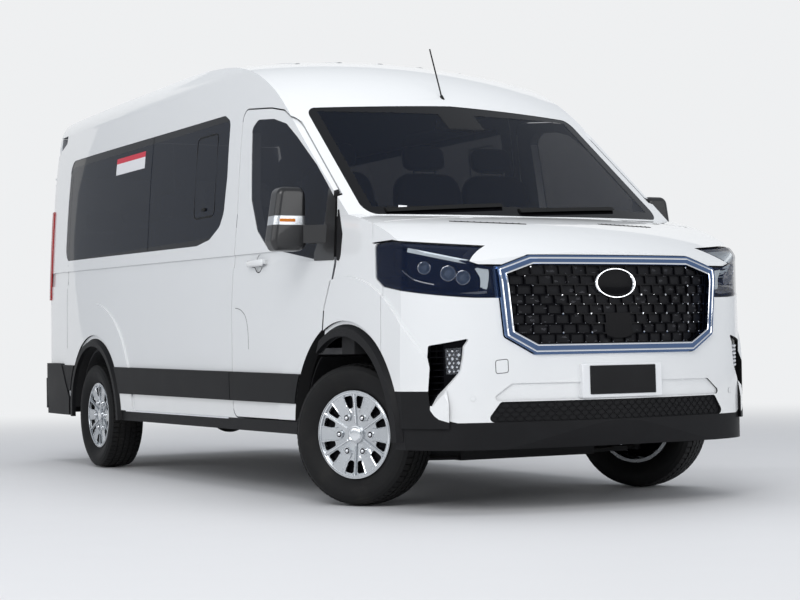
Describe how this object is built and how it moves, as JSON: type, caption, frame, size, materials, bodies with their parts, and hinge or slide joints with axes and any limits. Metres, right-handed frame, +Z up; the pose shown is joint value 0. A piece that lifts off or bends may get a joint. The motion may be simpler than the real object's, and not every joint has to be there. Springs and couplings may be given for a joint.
{
  "type": "minibus",
  "caption": "High-roof passenger minibus with hollow glazed body, hinged cab and rear doors, bonnet, steered front wheels and rows of seats.",
  "frame": {"origin": "on the floor, at mid-length and mid-width of the whole vehicle", "axes": "+X forward to the nose, +Y to the vehicle's left, +Z up"},
  "size_m": [5.9416, 2.4766, 2.5306],
  "materials": {
    "white_paint": "gloss",
    "black_trim": "fine grained",
    "chassis_paint": "satin",
    "chrome": "polished",
    "glass": "tinted",
    "clear_glass": "clear",
    "lamp_housing": "dark",
    "red_lens": "gloss",
    "tyre": "black",
    "rim": "silver",
    "steel": "machined",
    "cast_iron": "rough",
    "floor_mat": "ribbed",
    "dash_plastic": "grained",
    "seat_fabric": "woven",
    "seat_steel": "black"
  },
  "bodies": {
    "root": {"aerial": "black_trim", "bumper_valance": "black_trim", "cab_frame": "white_paint", "chassis": "chassis_paint", "cladding": "black_trim", "dashboard": "dash_plastic", "engine": "cast_iron", "exhaust": "steel", "floor": "floor_mat", "fog_lamps": "lamp_housing", "front_bumper": "white_paint", "front_suspension": "chassis_paint", "front_wings": "white_paint", "fuel_tank": "chassis_paint", "grille_mesh": "black_trim", "grille_surround": "chrome", "headlamp_lenses": "clear_glass", "headlamps": "lamp_housing", "mudflaps": "black_trim", "radiator": "chassis_paint", "rear_axle": "cast_iron", "rear_bumper": "black_trim", "roof": "white_paint", "seat_backs": "seat_fabric", "seat_cushions": "seat_fabric", "seat_frames": "seat_steel", "side_glass": "glass", "side_wall_left": "white_paint", "side_wall_right": "white_paint", "sliding_door": "white_paint", "steering_wheel": "dash_plastic", "tail_lamps": "red_lens", "windscreen": "glass", "wipers": "black_trim"},
    "front_door_left": {"front_door_left": "white_paint", "door_glass_left": "glass", "door_trim_left": "black_trim", "mirror_left": "black_trim"},
    "rear_door_left": {"rear_door_left": "white_paint", "rear_glass_left": "glass"},
    "knuckle_left": {"knuckle_left": "cast_iron"},
    "wheel_front_left": {"tyre_front_left": "tyre", "rim_front_left": "rim"},
    "wheel_rear_left": {"tyre_rear_left": "tyre", "rim_rear_left": "rim"},
    "front_door_right": {"front_door_right": "white_paint", "door_glass_right": "glass", "door_trim_right": "black_trim", "mirror_right": "black_trim"},
    "rear_door_right": {"rear_door_right": "white_paint", "rear_glass_right": "glass"},
    "knuckle_right": {"knuckle_right": "cast_iron"},
    "wheel_front_right": {"tyre_front_right": "tyre", "rim_front_right": "rim"},
    "wheel_rear_right": {"tyre_rear_right": "tyre", "rim_rear_right": "rim"},
    "bonnet": {"bonnet": "white_paint"}
  },
  "joints": [
    {"name": "front_door_left_hinge", "type": "hinge", "parent": "root", "child": "front_door_left", "pos_m": [1.92812, 0.945, 1.29], "axis": [0, 0, -1], "range_deg": [0, 70]},
    {"name": "front_door_right_hinge", "type": "hinge", "parent": "root", "child": "front_door_right", "pos_m": [1.92812, -0.945, 1.29], "axis": [0, 0, 1], "range_deg": [0, 70]},
    {"name": "rear_door_left_hinge", "type": "hinge", "parent": "root", "child": "rear_door_left", "pos_m": [-2.92302, 0.869, 1.4], "axis": [0, 0, -1], "range_deg": [0, 180]},
    {"name": "rear_door_right_hinge", "type": "hinge", "parent": "root", "child": "rear_door_right", "pos_m": [-2.92302, -0.869, 1.4], "axis": [0, 0, 1], "range_deg": [0, 180]},
    {"name": "bonnet_hinge", "type": "hinge", "parent": "root", "child": "bonnet", "pos_m": [2.30208, 0, 1.39678], "axis": [0, -1, 0], "range_deg": [0, 50]},
    {"name": "steer_left", "type": "hinge", "parent": "root", "child": "knuckle_left", "pos_m": [1.93, 0.8, 0.352], "axis": [0, 0, 1], "range_deg": [-64, 8]},
    {"name": "steer_right", "type": "hinge", "parent": "root", "child": "knuckle_right", "pos_m": [1.93, -0.8, 0.352], "axis": [0, 0, 1], "range_deg": [-64, 8]},
    {"name": "front_wheel_left_spin", "type": "hinge", "parent": "knuckle_left", "child": "wheel_front_left", "pos_m": [1.89714, 0.86181, 0.352], "axis": [-0.4695, 0.8829, 0], "continuous": true},
    {"name": "rear_wheel_left_spin", "type": "hinge", "parent": "root", "child": "wheel_rear_left", "pos_m": [-1.83, 0.87, 0.352], "axis": [0, 1, 0], "continuous": true},
    {"name": "front_wheel_right_spin", "type": "hinge", "parent": "knuckle_right", "child": "wheel_front_right", "pos_m": [1.96286, -0.86181, 0.352], "axis": [-0.4695, 0.8829, 0], "continuous": true},
    {"name": "rear_wheel_right_spin", "type": "hinge", "parent": "root", "child": "wheel_rear_right", "pos_m": [-1.83, -0.87, 0.352], "axis": [0, 1, 0], "continuous": true}
  ],
  "couplings": [
    {"joint": "steer_left", "follows": "steer_right", "ratio": 1}
  ]
}
